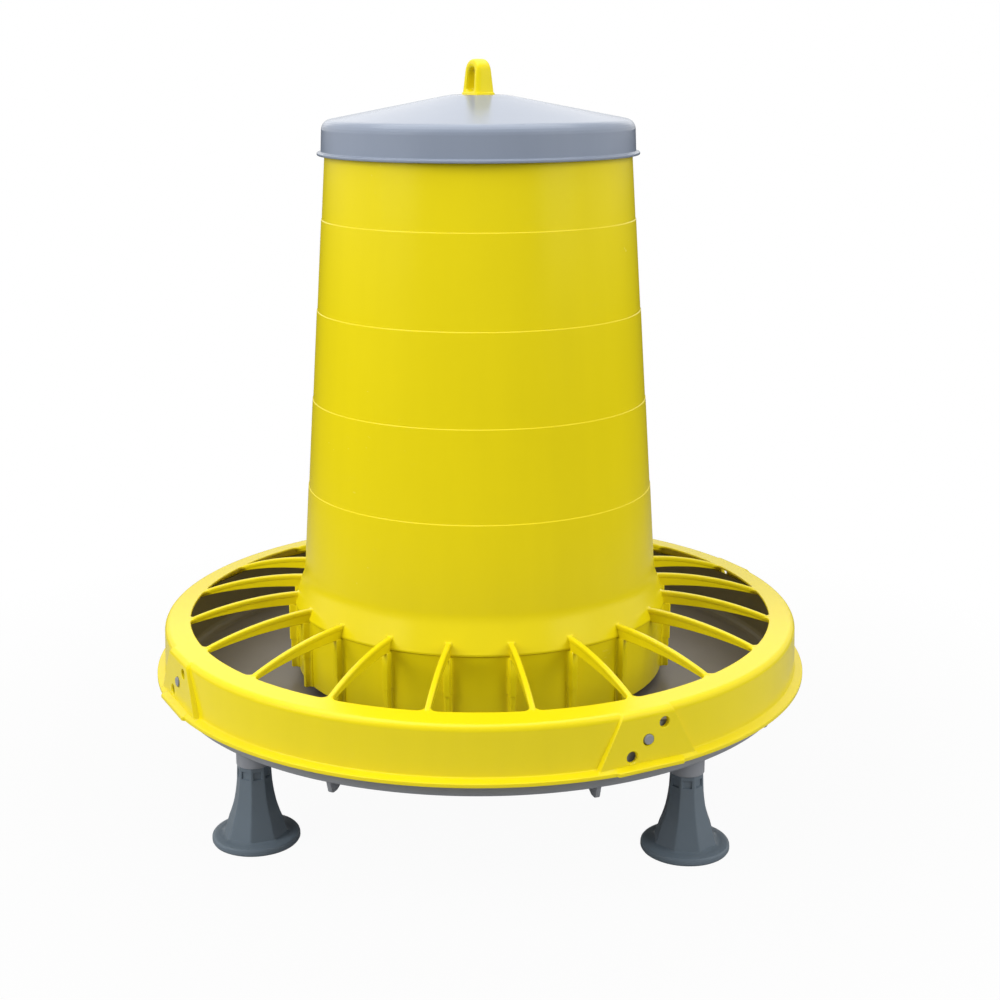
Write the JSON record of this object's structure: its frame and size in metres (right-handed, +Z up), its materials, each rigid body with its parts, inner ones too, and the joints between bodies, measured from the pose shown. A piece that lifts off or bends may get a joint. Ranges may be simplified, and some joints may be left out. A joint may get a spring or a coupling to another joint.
{
  "type": "poultry feeder",
  "caption": "Round poultry feeder: a tapered hopper with a lid and hanging eye, joined by arched ribs to a ring over a feed pan that stands on short feet.",
  "frame": {"origin": "on the floor, on the hopper's axis", "axes": "+Z up along the hopper's axis, +X and +Y through two of the ring's four flat pads; the front is towards -Y, the eye's slot looks along X"},
  "size_m": [0.471, 0.471, 0.51],
  "materials": {
    "yellow_plastic": "semi-gloss moulded yellow plastic",
    "lid_plastic": "semi-gloss moulded blue-grey plastic",
    "pan_plastic": "satin moulded grey plastic",
    "foot_plastic": "semi-gloss moulded dark grey plastic"
  },
  "bodies": {
    "root": {"hopper": "yellow_plastic", "hanger": "yellow_plastic", "ring": "yellow_plastic", "lid": "lid_plastic", "lid_side": "lid_plastic", "pan": "pan_plastic", "pan_cone": "pan_plastic", "pan_wall": "pan_plastic", "rib_01": "yellow_plastic", "rib_02": "yellow_plastic", "rib_03": "yellow_plastic", "rib_04": "yellow_plastic", "rib_05": "yellow_plastic", "rib_06": "yellow_plastic", "rib_07": "yellow_plastic", "rib_08": "yellow_plastic", "rib_09": "yellow_plastic", "rib_10": "yellow_plastic", "rib_11": "yellow_plastic", "rib_12": "yellow_plastic", "rib_13": "yellow_plastic", "rib_14": "yellow_plastic", "rib_15": "yellow_plastic", "rib_16": "yellow_plastic", "rib_17": "yellow_plastic", "rib_18": "yellow_plastic", "rib_19": "yellow_plastic", "rib_20": "yellow_plastic", "foot_front_left": "foot_plastic", "foot_front_right": "foot_plastic", "foot_rear_right": "foot_plastic", "foot_rear_left": "foot_plastic"}
  },
  "joints": []
}
